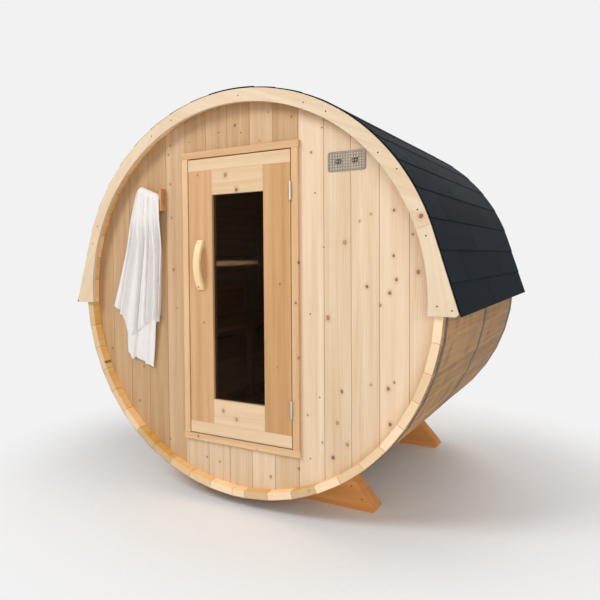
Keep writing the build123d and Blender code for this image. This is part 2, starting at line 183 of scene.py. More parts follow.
def cedar(name, light, dark, axes="XYZ", origin=WALL_ORIGIN, pitch=3.0, shift=4.5, turn=0.0,
          tone=0.2, spacing=0.30, share=0.0, knots=(), rough=0.6, key=0.0, seam=0.6, ends=None, weathered=None):
    """Planed white cedar: pale early wood, warm late wood, fine fibres, and knots that the fibres bend round.

    axes names the directions across, through and along the boards, or is "polar" for the barrel's staves.
    pitch and shift say where one board ends and the next begins, so that each is cut from its own log, and key picks
    other logs. share is how much of the wood may have small knots, and knots lists the larger ones by place."""
    material, tree = start(name)
    place = add(tree, "Mapping", [add(tree, "TexCoord").outputs["Object"], tuple(-c for c in origin)])
    if turn:
        place = add(tree, "Mapping", {"Vector": place, "Rotation": (0, radians(turn), 0)})
    split = add(tree, "SeparateXYZ", [place]).outputs
    if axes == "polar":
        angle = add(tree, "Math", [split[2], split[0]], operation="ARCTAN2")
        angle = add(tree, "Math", [angle, 2 * pi - radians(270 + STAVE_ANGLE * FILLER_SHARE * 2 / 3)], operation="ADD")
        angle = add(tree, "Math", [angle, 2 * pi], operation="FLOORED_MODULO")
        across = add(tree, "Math", [angle, BARREL_RADIUS], operation="MULTIPLY")
        flat = add(tree, "VectorMath", [place, (1, 0, 1)], operation="MULTIPLY")
        through = add(tree, "VectorMath", [flat], operation="LENGTH").outputs["Value"]
        along, pitch, shift = split[1], STAVE_WIDTH, 0.0
    else:
        across, through, along = (split["XYZ".index(axis)] for axis in axes)
    count = add(tree, "Math", [add(tree, "Math", [across, shift], operation="ADD"), pitch], operation="DIVIDE")
    board = add(tree, "Math", [count], operation="FLOOR")
    log = add(tree, "TexWhiteNoise", {"Vector": add(tree, "CombineXYZ", [board, key, 0.37])}, noise_dimensions="3D")
    seed, colours = log.outputs["Value"], log.outputs["Color"]
    inside = add(tree, "Math", [add(tree, "Math", [count, board], operation="SUBTRACT"), 0.5], operation="SUBTRACT")
    inside = add(tree, "Math", [inside, pitch], operation="MULTIPLY")
    local = add(tree, "CombineXYZ", [across, through, along])
    local = add(tree, "VectorMath", [colours, (7.3, 3.1, 19.7), local], operation="MULTIPLY_ADD")

    # Knots: a few where a coarse pattern of cells allows them, and others at given places
    cells_at = add(tree, "VectorMath", [local, (1 / spacing, 0, 1 / spacing)], operation="MULTIPLY")
    cells = add(tree, "TexVoronoi", {"Vector": cells_at, "Scale": 1.0, "Randomness": 0.9})
    cell = add(tree, "SeparateColor", [cells.outputs["Color"]]).outputs
    absent = add(tree, "Math", [cell[0], share], operation="GREATER_THAN")
    size = add(tree, "Math", [cell[1], 0.008 / spacing, 0.004 / spacing], operation="MULTIPLY_ADD")
    ratio = add(tree, "Math", [cells.outputs["Distance"], size], operation="DIVIDE")
    ratio = add(tree, "Math", [absent, 90.0, ratio], operation="MULTIPLY_ADD")
    for knot_x, knot_z, radius in knots:
        gap = add(tree, "VectorMath", [place, (1, 0, 0.8)], operation="MULTIPLY")
        gap = add(tree, "VectorMath", [gap, (knot_x, 0, knot_z * 0.8)], operation="DISTANCE").outputs["Value"]
        gap = add(tree, "Math", [gap, radius], operation="DIVIDE")
        ratio = add(tree, "Math", [ratio, gap], operation="MINIMUM")
    ragged = add(tree, "TexNoise", {"Vector": local, "Scale": 130.0, "Detail": 2.0})
    ratio = add(tree, "Math", [ratio, add(tree, "Math", [ragged, 0.9, 0.55], operation="MULTIPLY_ADD")],
                operation="MULTIPLY")
    core = add(tree, "MapRange", [ratio, 0.55, 1.1, 1.0, 0.0], interpolation_type="SMOOTHSTEP")
    heart = add(tree, "MapRange", [ratio, 0.1, 0.65, 0.5, 1.0])
    halo = add(tree, "MapRange", [ratio, 0.8, 3.0, 1.0, 0.0], interpolation_type="SMOOTHERSTEP")
    faint = add(tree, "TexNoise", {"Vector": place, "Scale": 4.3, "Detail": 0.0})
    faint = add(tree, "MapRange", [faint, 0.36, 0.58, 0.55, 0.95])

    # Growth rings 7 mm apart round a pith beside the board, drawn coarser than real ones so that they show
    warp = add(tree, "TexNoise", {"Vector": add(tree, "VectorMath", [local, (3, 3, 0.8)], operation="MULTIPLY"),
                                  "Scale": 1.0, "Detail": 2.0})
    bent = add(tree, "Math", [halo, 0.018, inside], operation="MULTIPLY_ADD")
    bent = add(tree, "Math", [warp, 0.12, bent], operation="MULTIPLY_ADD")
    bent = add(tree, "Math", [seed, 0.2, bent], operation="MULTIPLY_ADD")
    depth = add(tree, "Math", [through, 0.05 if axes != "polar" else -1.02], operation="ADD")
    log_at = add(tree, "CombineXYZ", [add(tree, "Math", [bent, -0.16], operation="ADD"), depth, 0.0])
    rings = add(tree, "TexWave", {"Vector": log_at, "Scale": 0.314 / 0.007, "Distortion": 1.5, "Detail": 1.0,
                                  "Detail Scale": 0.5}, wave_type="RINGS", rings_direction="Z", wave_profile="SAW")
    fibre = add(tree, "TexNoise", {"Vector": add(tree, "VectorMath", [local, (420, 420, 9)], operation="MULTIPLY"),
                                   "Scale": 1.0, "Detail": 3.0})
    streaks = add(tree, "TexNoise", {"Vector": add(tree, "VectorMath", [local, (30, 30, 1.2)], operation="MULTIPLY"),
                                     "Scale": 1.0, "Detail": 3.0})
    late = add(tree, "Math", [rings.outputs["Fac"], 0.30, -0.55], operation="MULTIPLY_ADD")
    late = add(tree, "Math", [streaks, 1.1, late], operation="MULTIPLY_ADD")
    late = add(tree, "Math", [fibre, 0.35, late], operation="MULTIPLY_ADD")
    colour = add(tree, "Mix", {0: late, 6: light, 7: dark}, data_type="RGBA").outputs[2]
    shade = add(tree, "MapRange", [seed, 0.0, 1.0, 1 - tone, 1 + tone * 0.5])
    rich = add(tree, "MapRange", [seed, 0.0, 1.0, 1 + tone * 0.6, 1 - tone * 0.4])
    colour = add(tree, "HueSaturation", {"Saturation": rich, "Value": shade, "Color": colour}).outputs[0]
    warm = add(tree, "Math", [halo, add(tree, "Math", [faint, 0.22], operation="MULTIPLY")], operation="MULTIPLY")
    colour = add(tree, "Mix", {0: warm, 6: colour, 7: linear("#b0733c")}, data_type="RGBA").outputs[2]
    pip = add(tree, "Math", [core, add(tree, "Math", [faint, heart], operation="MULTIPLY")], operation="MULTIPLY")
    colour = add(tree, "Mix", {0: pip, 6: colour, 7: linear("#4a2814")}, data_type="RGBA").outputs[2]

    # The sawn ends of the staves
    if ends:
        facing = add(tree, "SeparateXYZ", [add(tree, "TexCoord").outputs["Normal"]]).outputs[1]
        facing = add(tree, "Math", [add(tree, "Math", [facing], operation="ABSOLUTE"), 0.8], operation="GREATER_THAN")
        cut = add(tree, "HueSaturation", {"Saturation": rich, "Value": shade, "Color": ends}).outputs[0]
        facing = add(tree, "Math", [facing, 0.72], operation="MULTIPLY")
        colour = add(tree, "Mix", {0: facing, 6: colour, 7: cut}, data_type="RGBA").outputs[2]

    # Outside, the staves go brown in long streaks and damp patches, and are painted darker towards the back as painted
    # shade
    if weathered:
        outside = add(tree, "MapRange", [through, 0.9735, 0.9750, 0.0, 0.8])
        patch = add(tree, "VectorMath", [local, (60, 1, 1.6)], operation="MULTIPLY")
        patch = add(tree, "TexNoise", {"Vector": patch, "Scale": 1.0, "Detail": 5.0})
        patch = add(tree, "MapRange", [patch, 0.25, 0.75, 0.0, 1.0])
        drips = add(tree, "VectorMath", [local, (5, 1, 9)], operation="MULTIPLY")
        drips = add(tree, "TexNoise", {"Vector": drips, "Scale": 1.0, "Detail": 3.0})
        drips = add(tree, "MapRange", [drips, 0.44, 0.70, -0.15, 0.4], interpolation_type="SMOOTHSTEP")
        patch = add(tree, "Math", [patch, drips], operation="ADD", use_clamp=True)
        aged = add(tree, "Mix", {0: patch, 6: weathered[0], 7: weathered[1]}, data_type="RGBA")
        # Painted shade: the weathered wood darkens from the front of the barrel to the back
        tone_with_painted_back_shade = add(tree, "MapRange", [along, -0.9, 0.9, 1.04, 0.72])
        tone_with_painted_back_shade = add(tree, "Math", [shade, tone_with_painted_back_shade], operation="MULTIPLY")
        aged = add(tree, "HueSaturation", {"Value": tone_with_painted_back_shade, "Color": aged.outputs[2]}).outputs[0]
        colour = add(tree, "Mix", {0: outside, 6: colour, 7: aged}, data_type="RGBA").outputs[2]

    # Boards darken at their joints, and the weathered staves have their edges painted pale as a painted highlight,
    # where eased edges catch the light
    edge = add(tree, "Math", [inside], operation="ABSOLUTE")
    if weathered:
        # Painted highlight along the long edges of the weathered staves
        wear_and_painted_highlight = add(tree, "MapRange", [edge, pitch / 2 - 0.0075, pitch / 2 - 0.0035, 0.0, 0.6])
        wear_and_painted_highlight = add(tree, "Math", [wear_and_painted_highlight, outside], operation="MULTIPLY")
        colour = add(tree, "Mix", {0: wear_and_painted_highlight, 6: colour, 7: linear("#c9ab84")}, data_type="RGBA").outputs[2]
    line = add(tree, "MapRange", [edge, pitch / 2 - 0.0020, pitch / 2 - 0.0006, 0.0, seam])
    colour = add(tree, "Mix", {0: line, 6: colour, 7: linear("#8a5828")}, data_type="RGBA").outputs[2]
    height = add(tree, "Math", [rings.outputs["Fac"], 0.4, fibre], operation="MULTIPLY_ADD")
    bump = add(tree, "Bump", {"Strength": 0.25, "Distance": 0.0004, "Height": height})
    gloss = add(tree, "MapRange", [fibre, 0.3, 0.7, rough - 0.06, rough + 0.1])
    surface(tree, {"Base Color": colour, "Roughness": gloss, "Normal": bump, "IOR": 1.5,
                   "Specular IOR Level": 0.3})
    return material


def steel(name, colour, rough, scratch=(60.0, 60.0, 60.0)):
    """Rolled steel strip: a dull grey that catches the light along faint rolling lines."""
    material, tree = start(name)
    place = add(tree, "TexCoord").outputs["Object"]
    lines = add(tree, "TexNoise", {"Vector": add(tree, "VectorMath", [place, scratch], operation="MULTIPLY"),
                                   "Scale": 1.0, "Detail": 3.0})
    tarnish = add(tree, "TexNoise", {"Vector": place, "Scale": 9.0, "Detail": 4.0})
    tint = add(tree, "ValToRGB", [tarnish], stops=[(0.35, colour[0]), (0.7, colour[1])])
    gloss = add(tree, "MapRange", [lines, 0.3, 0.7, rough - 0.08, rough + 0.12])
    bump = add(tree, "Bump", {"Strength": 0.15, "Distance": 0.0002, "Height": lines})
    surface(tree, {"Base Color": tint, "Metallic": 1.0, "Roughness": gloss, "Normal": bump})
    return material


def asphalt(name, colour):
    """Asphalt shingle: charcoal mineral grit about 2 mm across, pressed into bitumen, each shingle a little different,
    and painted shade where a face holds the darkest value.
    """
    material, tree = start(name)
    place = add(tree, "TexCoord").outputs["Object"]
    grit = add(tree, "TexVoronoi", {"Vector": place, "Scale": 520.0})
    grain = add(tree, "SeparateColor", [grit.outputs["Color"]]).outputs[0]
    tone_and_painted_shade = add(tree, "Attribute", attribute_name="tone_and_painted_shade").outputs["Fac"]
    patch = add(tree, "TexNoise", {"Vector": place, "Scale": 14.0, "Detail": 4.0})
    # The per-face value is each shingle's own tone, or -1 where painted shade makes the face darkest
    value = add(tree, "Math", [patch, 0.7, tone_and_painted_shade], operation="MULTIPLY_ADD")
    value = add(tree, "Math", [grain, 0.5, value], operation="MULTIPLY_ADD")
    value = add(tree, "MapRange", [value, 0.0, 2.0, 0.35, 1.5])
    colour = add(tree, "HueSaturation", {"Value": value, "Color": colour})
    bump = add(tree, "Bump", {"Strength": 0.6, "Distance": 0.0010, "Height": grit.outputs["Distance"]})
    surface(tree, {"Base Color": colour, "Roughness": 0.93, "Normal": bump, "IOR": 1.5,
                   "Specular IOR Level": 0.05})
    return material


def bronze_glass(name, colour):
    """Bronze float glass: polished, and dark enough that the cabin behind it only just shows."""
    material, tree = start(name)
    place = add(tree, "TexCoord").outputs["Object"]
    haze = add(tree, "TexNoise", {"Vector": place, "Scale": 6.0, "Detail": 3.0})
    gloss = add(tree, "MapRange", [haze, 0.3, 0.7, 0.01, 0.035])
    surface(tree, {"Base Color": colour, "Roughness": gloss, "IOR": 1.5, "Specular IOR Level": 0.06, "Alpha": 0.4})
    return material


def terry(name, colour):
    """White cotton terry: rows of small soft loops that follow the cloth, fuzzy at grazing angles."""
    material, tree = start(name)
    place = add(tree, "TexCoord").outputs["UV"]
    loops = add(tree, "TexVoronoi", {"Vector": place, "Scale": 420.0})
    wear_and_painted_highlight = add(tree, "TexNoise", {"Vector": place, "Scale": 12.0, "Detail": 3.0})
    wear_and_painted_highlight = add(tree, "MapRange", [wear_and_painted_highlight, 0.3, 0.75, 0.94, 1.0])
    tint = add(tree, "HueSaturation", {"Value": wear_and_painted_highlight, "Color": colour})
    bump = add(tree, "Bump", {"Strength": 0.3, "Distance": 0.0012, "Height": loops.outputs["Distance"]})
    surface(tree, {"Base Color": tint, "Roughness": 0.95, "Normal": bump, "Sheen Weight": 0.25,
                   "Sheen Roughness": 0.5})
    return material


def paint_node(node, material):
    """Gives a solid part its finish."""
    slots = NODES[node].data.materials
    slots.clear()
    slots.append(material)


# Shapes

def solid_copy(node):
    """A solid part's mesh with its loose triangles joined and its flat faces made whole."""
    mesh = bmesh.new()
    mesh.from_mesh(NODES[node].data)
    bmesh.ops.remove_doubles(mesh, verts=mesh.verts, dist=2e-5)
    bmesh.ops.dissolve_limit(mesh, angle_limit=radians(0.3), verts=mesh.verts, edges=mesh.edges)
    return mesh


def join(target, source):
    """Adds one mesh to another."""
    spare = bpy.data.meshes.new("spare")
    source.to_mesh(spare)
    source.free()
    target.from_mesh(spare)
    bpy.data.meshes.remove(spare)


def finished(name, mesh, material, body, smooth=None):
    """An object in the scene from a mesh, with its finish, riding on its body."""
    data = bpy.data.meshes.new(name)
    mesh.to_mesh(data)
    mesh.free()
    obj = bpy.data.objects.new(name, data)
    bpy.context.scene.collection.objects.link(obj)
    data.materials.append(material)
    if smooth:
        data.shade_smooth()
        data.set_sharp_from_angle(angle=radians(smooth))
    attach(obj, body)
    return obj


def sawn(node, joints, ease):
    """A wall piece sawn into boards at the joints, with the boards' long edges eased at both faces."""
    low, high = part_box(node)
    edges = [low.x - 1, *[j for j in joints if low.x + 1e-3 < j < high.x - 1e-3], high.x + 1]
    whole = solid_copy(node)
    result = bmesh.new()
    for left, right in pairwise(edges):
        board = whole.copy()
        for x, inward in ((left, True), (right, False)):
            if low.x < x < high.x:
                geometry = board.verts[:] + board.edges[:] + board.faces[:]
                bmesh.ops.bisect_plane(board, geom=geometry, dist=1e-6, plane_co=(x, 0, 0), plane_no=(1, 0, 0),
                                       clear_inner=inward, clear_outer=not inward)
                bmesh.ops.holes_fill(board, edges=[e for e in board.edges if e.is_boundary], sides=0)
        seams = [e for e in board.edges
                 if any(all(abs(v.co.x - x) < 1e-5 for v in e.verts) for x in (left, right))
                 and any(all(abs(v.co.y - y) < 1e-5 for v in e.verts) for y in (low.y, high.y))]
        bmesh.ops.bevel(board, geom=seams, offset=ease, affect="EDGES", segments=1, profile=0.5, material=-1)
        join(result, board)
    whole.free()
    return result


def roof_point(run, lift):
    """A point on the roof's line, run metres up from the right eave, lifted off it."""
    flare = radians(FLARE_ANGLE)
    tail = (ROOF_RADIUS * sin(flare) + EAVE_DROP) / cos(flare)
    angle = flare + max(0.0, run - tail) / ROOF_RADIUS
    short = min(0.0, run - tail)
    radius = ROOF_RADIUS + lift
    return radius * cos(angle) - short * sin(angle), radius * sin(angle) + short * cos(angle)


def shingle(start_run, length, front, back, butt, head, shade):
    """One shingle bent to the roof: thick at its lower butt and thin at its head. Its butt face and its cut ends take
    the darkest value as painted shade.
    """
    piece = bmesh.new()
    bmesh.ops.create_cube(piece, size=1.0)
    risers = [e for e in piece.edges if abs(e.verts[0].co.x - e.verts[1].co.x) > 0.5]
    bmesh.ops.subdivide_edges(piece, edges=risers, cuts=5, use_grid_fill=True)
    tone_and_painted_shade = piece.faces.layers.float.new("tone_and_painted_shade")
    for face in piece.faces:
        # Painted shade: the butt face and the cut ends get the darkest value, the other faces the given tone
        face[tone_and_painted_shade] = -1.0 if all(v.co.x < -0.49 for v in face.verts) or abs(face.normal.y) > 0.9 else shade
    for v in piece.verts:
        up = v.co.x + 0.5
        top = butt + (head - butt) * up
        lift = top if v.co.z > 0 else top - 0.0024
        x, z = roof_point(start_run + up * length, max(lift, 0.0002))
        v.co = (x, front if v.co.y < 0 else back, z + AXIS_HEIGHT)
    return piece


def eased(value, low, high):
    """0 below low, 1 above high and a smooth step between."""
    share = min(1.0, max(0.0, (value - low) / (high - low)))
    return share * share * (3 - 2 * share)


def hanging(across, down):
    """Where a point of the towel hangs: over the rail, in soft folds, inside the space that it is given."""
    lap = 0.12  # the share of its length that goes over the rail and down behind it
    back = max(0.0, 1 - down / lap)
    down = max(0.0, (down - lap) / (1 - lap))
    at = next(n for n in range(1, len(TOWEL_HEM)) if across <= TOWEL_HEM[n][0] + 1e-6)
    (u0, x0, z0), (u1, x1, z1) = TOWEL_HEM[at - 1:at + 1]
    share = (across - u0) / (u1 - u0)
    hem_x, hem_z = x0 + (x1 - x0) * share, z0 + (z1 - z0) * share
    top_x, top_z = -0.598 + 0.137 * across, 0.574 - 0.056 * across
    top_z -= 0.014 * (max(0.0, 1 - across * 7) ** 2 + max(0.0, across * 9 - 8) ** 2)
    x = top_x + (hem_x - top_x) * down + 0.008 * across * sin(pi * down)
    z = top_z + (hem_z - top_z) * down
    if back:
        x += (-0.5725 + 0.0865 * across - x) * min(1.0, 5 * back)
        z -= 0.11 * back
        out = 0.027 - 0.0175 * sqrt(1 - max(0.0, 1 - back / 0.2) ** 2)
        return Vector((x, WALL_FRONT - out, z + AXIS_HEIGHT))

    # Two waves of folds drift across the towel, deeper below the rail, and a slanting step parts its two layers
    free = eased(0.425 - z, 0.0, 0.2)
    middle = 0.0460 - 0.0200 * free
    middle = 0.027 + (middle - 0.027) * sqrt(1 - max(0.0, 1 - down / 0.04) ** 2)
    swing = (0.0050 + 0.0170 * free) * eased(down, 0.0, 0.06)
    fold = 0.60 * sin(2 * pi * (5.8 * across + 0.30 + 0.10 * sin(3.0 * down)))
    fold += 0.40 * sin(2 * pi * (9.8 * across + 0.15 - 0.45 * down))
    turned = eased(-0.235 + 0.62 * (x + 0.69) - z, 0.0, 0.012) * eased(across, 0.2, 0.35)
    out = middle + swing * max(-1.0, min(1.0, fold)) * (1 - 0.6 * turned) - 0.006 * turned
    return Vector((x, WALL_FRONT - out, z + AXIS_HEIGHT))


def screw_head(mesh, centre, outward, radius):
    """A countersunk screw head, its middle at a point and its face outward."""
    made = bmesh.ops.create_cone(mesh, cap_ends=True, segments=10, radius1=radius * 0.6, radius2=radius,
                                 depth=SCREW_DEPTH)
    turn = Vector((0, 0, 1)).rotation_difference(Vector(outward)).to_matrix().to_4x4()
    bmesh.ops.transform(mesh, matrix=Matrix.Translation(centre) @ turn, verts=made["verts"])


# Settings

def size(name, description, value, low, high):
    """A length that a user can change."""
    return FloatProperty(name=name, description=description, default=value, min=low, max=high, unit="LENGTH")


def tint(name, description, value):
    """A colour that a user can change."""
    return FloatVectorProperty(name=name, description=description, default=linear(value), min=0.0, max=1.0, size=4,
                               subtype="COLOR")


class SaunaSettings(bpy.types.PropertyGroup):
    """Sizes and colours that a user would change."""
    board_width: size("Board width", "Width of a wall board on its face", 0.127, 0.05, 0.3)
    board_ease: size("Board edge", "Bevel along a wall board's edges", 0.0014, 0.0005, 0.006)
    shingle_exposure: size("Shingle exposure", "Height of each course that shows", 0.137, 0.05, 0.3)
    shingle_length: size("Shingle length", "Length of one shingle along the barrel", 0.92, 0.2, 2.0)
    screw_radius: size("Screw head", "Radius of a screw's head", 0.0036, 0.001, 0.01)
    towel_width: size("Towel width", "Width of the towel laid flat", 0.50, 0.2, 1.0)
    towel_length: size("Towel length", "Length of the towel laid flat", 1.00, 0.5, 2.0)
    towel_cloth: size("Towel cloth", "Thickness of the towel's cloth", 0.003, 0.001, 0.008)
    # The wall's cedar comes in two copies: a lighter one, painted sunlight, for the boards right of and under the door
    # and at the back, and a darker one, painted shade, for the boards left of and over the door
    painted_sunlit_wall_pale: tint("Wall, pale", "Early wood of the sunny wall boards", "#dfcaae")
    painted_sunlit_wall_warm: tint("Wall, warm", "Late wood of the sunny wall boards", "#c59d72")
    painted_shade_wall_pale: tint("Left wall, pale", "Early wood of the wall boards left of the door", "#cbab86")
    painted_shade_wall_warm: tint("Left wall, warm", "Late wood of the wall boards left of the door", "#a3774c")
    stave_pale: tint("Staves, pale", "Early wood of the staves inside", "#ffd99c")
    stave_warm: tint("Staves, warm", "Late wood of the staves inside", "#f7a843")
    stave_end: tint("Stave ends", "The sawn ends of the staves", "#d9c3a6")
    weather_pale: tint("Staves outside, pale", "Weathered wood outside, where it is dry", "#b07b40")
    weather_dark: tint("Staves outside, dark", "Streaks and damp patches outside", "#5e3a1a")
    door_pale: tint("Stiles, pale", "Early wood of the stiles", "#d2a87a")
    door_warm: tint("Stiles, warm", "Late wood of the stiles", "#ac7a4a")
    casing_pale: tint("Casing, pale", "Early wood of the door's frame", "#ddb98f")
    casing_warm: tint("Casing, warm", "Late wood of the door's frame", "#bd8d5e")
    panel_pale: tint("Door panels, pale", "Early wood of the rails and panels over and under the glass", "#e0c6a4")
    panel_warm: tint("Door panels, warm", "Late wood of the rails and panels over and under the glass", "#cba377")
    fascia_pale: tint("Bargeboards, pale", "Early wood of the bargeboards", "#dfcdb3")
    fascia_warm: tint("Bargeboards, warm", "Late wood of the bargeboards", "#c9a67d")
    cradle_pale: tint("Cradles, pale", "Early wood of the cradles", "#e59e4a")
    cradle_warm: tint("Cradles, warm", "Late wood of the cradles", "#ab611e")
    shingle_colour: tint("Shingles", "Mineral grit of the shingles", "#161e25")
    glass_colour: tint("Glass", "Tint of the door's glass", "#0b0704")
    towel_colour: tint("Towel", "Cotton of the towel", "#e4dfdc")


# Operators

class SAUNA_OT_stage(bpy.types.Operator):
    """Sets up the pale floor, the soft light and the camera"""
    bl_idname = "sauna.stage"
    bl_label = "Stage"

    def execute(self, context):
        scene = context.scene
        scene.view_settings.view_transform = "Standard"
        yaw, pitch, roll = CAMERA_TURN
        forward = Vector((sin(yaw) * cos(pitch), cos(yaw) * cos(pitch), sin(pitch)))
        right = Vector((cos(yaw), -sin(yaw), 0))
        up = right.cross(forward)
        right, up = cos(roll) * right + sin(roll) * up, cos(roll) * up - sin(roll) * right
        data = bpy.data.cameras.new("camera")
        data.sensor_width, data.lens = SENSOR, SENSOR * FOCAL / PICTURE
        data.shift_x, data.shift_y = (PICTURE / 2 - CENTRE[0]) / PICTURE, -(PICTURE / 2 - CENTRE[1]) / PICTURE
        camera = bpy.data.objects.new("camera", data)
        turned = Matrix((right, up, -forward)).transposed().to_4x4()
        camera.matrix_world = Matrix.Translation(CAMERA_PLACE) @ turned
        scene.collection.objects.link(camera)
        scene.camera = camera

        for name, place, aim, wide, tall, spread, power in LAMPS:
            lamp = bpy.data.lights.new(name, "AREA")
            lamp.shape, lamp.size, lamp.size_y = "ELLIPSE", wide, tall
            lamp.spread, lamp.energy = radians(spread), power
            light = bpy.data.objects.new(name, lamp)
            light.location = place
            light.rotation_mode = "QUATERNION"
            light.rotation_quaternion = (Vector(aim) - Vector(place)).to_track_quat("-Z", "Y")
            scene.collection.objects.link(light)

        world = bpy.data.worlds.new("studio")
        world.use_nodes = True
        tree = world.node_tree
        tree.nodes.clear()
        seen = add(tree, "LightPath").outputs
        shown = add(tree, "Math", [seen["Is Camera Ray"], seen["Is Glossy Ray"]], operation="MAXIMUM")
        shown = add(tree, "Math", [shown, seen["Is Transmission Ray"]], operation="MAXIMUM")
        soft = add(tree, "Background", [linear("#ffffff"), 0.42])
        pale = add(tree, "Background", [linear("#f2f2f2"), 1.0])
        add(tree, "OutputWorld", {"Surface": add(tree, "MixShader", [shown, soft, pale])})
        scene.world = world

        material, tree = start("pale floor paint")
        place = add(tree, "TexCoord").outputs["Object"]
        away = add(tree, "VectorMath", [place, (0.62, 0.62, 0)], operation="MULTIPLY")
        away = add(tree, "VectorMath", [away], operation="LENGTH").outputs["Value"]
        far = add(tree, "MapRange", [away, 0.75, 1.35, 0.0, 1.0], interpolation_type="SMOOTHSTEP")
        speck = add(tree, "TexNoise", {"Vector": place, "Scale": 40.0, "Detail": 3.0})
        paint = add(tree, "ValToRGB", [speck], stops=[(0.3, "#f4f4f4"), (0.7, "#f7f7f7")])
        matt = add(tree, "BsdfPrincipled", {"Base Color": paint, "Roughness": 0.9})
        glow = add(tree, "Emission", [linear("#f2f2f2"), 1.0])
        seen = add(tree, "LightPath").outputs["Is Camera Ray"]
        factor = add(tree, "Math", [far, seen], operation="MULTIPLY")
        add(tree, "OutputMaterial", {"Surface": add(tree, "MixShader", [factor, matt, glow])})
        ground = bmesh.new()
        bmesh.ops.create_circle(ground, cap_ends=True, segments=64, radius=30)
        data = bpy.data.meshes.new("floor_stage")
        ground.to_mesh(data)
        ground.free()
        data.materials.append(material)
        obj = bpy.data.objects.new("floor_stage", data)
        scene.collection.objects.link(obj)
        return {"FINISHED"}


class SAUNA_OT_barrel(bpy.types.Operator):
    """Finishes the staves and the steel bands"""
    bl_idname = "sauna.barrel"
    bl_label = "Barrel"

    def execute(self, context):
        settings = context.scene.sauna
        wood = cedar("planed cedar staves, weathered outside", settings.stave_pale, settings.stave_warm, axes="polar",
                     origin=(0, 0, AXIS_HEIGHT), share=0.3, tone=0.32, knots=STAVE_KNOTS, ends=settings.stave_end,
                     weathered=(settings.weather_pale, settings.weather_dark))
        for n in range(1, 13):
            paint_node(f"staves_{n:02d}", wood)
        strap = steel("galvanised steel strap", ("#504f48", "#6c6a61"), 0.5)
        for name in ("band_front", "band_middle", "band_back"):
            paint_node(name, strap)
        return {"FINISHED"}


class SAUNA_OT_walls(bpy.types.Operator):
    """Saws the end walls into boards and finishes them"""
    bl_idname = "sauna.walls"
    bl_label = "End walls"

    def execute(self, context):
        settings = context.scene.sauna
        width = settings.board_width
        joints = [(n + 0.5) * width for n in range(-8, 8)]
        # The boards left of and over the door take the darker copy as painted shade, the others the lighter copy as
        # painted sunlight
        painted_sunlit_colours, painted_shade_colours = (settings.painted_sunlit_wall_pale, settings.painted_sunlit_wall_warm), (settings.painted_shade_wall_pale, settings.painted_shade_wall_warm)
        far = (0, -WALL_MIDDLE, AXIS_HEIGHT)
        for node, colours, key, origin, knots in (
                ("front_wall_left", painted_shade_colours, 0.0, WALL_ORIGIN, WALL_KNOTS),
                ("front_wall_right", painted_sunlit_colours, 0.0, WALL_ORIGIN, WALL_KNOTS),
                ("front_wall_over_door", painted_shade_colours, 0.0, WALL_ORIGIN, WALL_KNOTS),
                ("front_wall_under_door", painted_sunlit_colours, 0.0, WALL_ORIGIN, WALL_KNOTS),
                ("back_wall", painted_sunlit_colours, 3.0, far, ())):
            low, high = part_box(node)
            near = tuple(k for k in knots if low.x < k[0] < high.x and low.z < k[1] + AXIS_HEIGHT < high.z)
            wood = cedar(node.replace("_", " ") + " planed cedar", *colours, pitch=width, shift=width / 2, tone=0.12,
                         key=key, origin=origin, knots=near, share=0.0 if near else 0.45)
            mesh = sawn(node, joints, settings.board_ease)
            obj = finished(node + "_boards", mesh, wood, "barrel")
            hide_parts(node)
        return {"FINISHED"}


class SAUNA_OT_door(bpy.types.Operator):
    """Finishes the door frame, the door leaf and its glass"""
    bl_idname = "sauna.door"
    bl_label = "Door"

    def execute(self, context):
        settings = context.scene.sauna
        plain, clear = (settings.door_pale, settings.door_warm), (settings.panel_pale, settings.panel_warm)
        trim = (settings.casing_pale, settings.casing_warm)
        for name, colours, axes, knots, nodes in (
                ("planed cedar jambs", trim, "XYZ", JAMB_KNOTS, ("door_jamb_left", "door_jamb_right")),
                ("planed cedar header and sill", trim, "ZYX", SILL_KNOTS, ("door_header", "door_sill")),
                ("planed cedar stiles", plain, "XYZ", STILE_KNOTS, ("door_stile_left", "door_stile_right")),
                ("planed cedar rails", clear, "ZYX", (), ("door_rail_top", "door_rail_bottom")),
                ("planed cedar panels", clear, "ZYX", PANEL_KNOTS, ("door_panel_top", "door_panel_bottom"))):
            wood = cedar(name, *colours, axes=axes, pitch=1.0, shift=2.0, tone=0.08, knots=knots)
            for node in nodes:
                paint_node(node, wood)
        paint_node("door_glass", bronze_glass("bronze tinted glass", settings.glass_colour))
        return {"FINISHED"}


class SAUNA_OT_handles(bpy.types.Operator):
    """Rounds the bowed wooden handles and finishes them"""
    bl_idname = "sauna.handles"
    bl_label = "Handles"

    def execute(self, context):
        grip = cedar("sanded cedar handle", linear("#f3dcae"), linear("#dca862"), rough=0.42, tone=0.0)
        for node in ("door_handle_outside", "door_handle_inside"):
            mesh = solid_copy(node)
            corners = [e for e in mesh.edges if e.calc_face_angle(0) > radians(20)]
            bmesh.ops.bevel(mesh, geom=corners, offset=HANDLE_ROUNDING, affect="EDGES", segments=3, profile=0.5,
                            material=-1, clamp_overlap=True)
            obj = finished(node + "_rounded", mesh, grip, "door", smooth=50)
            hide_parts(node)
        return {"FINISHED"}


class SAUNA_OT_fittings(bpy.types.Operator):
    """Finishes the hinges and the vent"""
    bl_idname = "sauna.fittings"
    bl_label = "Fittings"

    def execute(self, context):
        plated = steel("zinc plated hinge steel", ("#b9b6ac", "#cfccc2"), 0.35)
        for height in ("upper", "lower"):
            for part in ("frame", "door"):
                paint_node(f"hinge_{height}_{part}_half", plated)
        paint_node("vent_grille", steel("stainless vent mesh", ("#736f6a", "#8b8781"), 0.45))
        return {"FINISHED"}


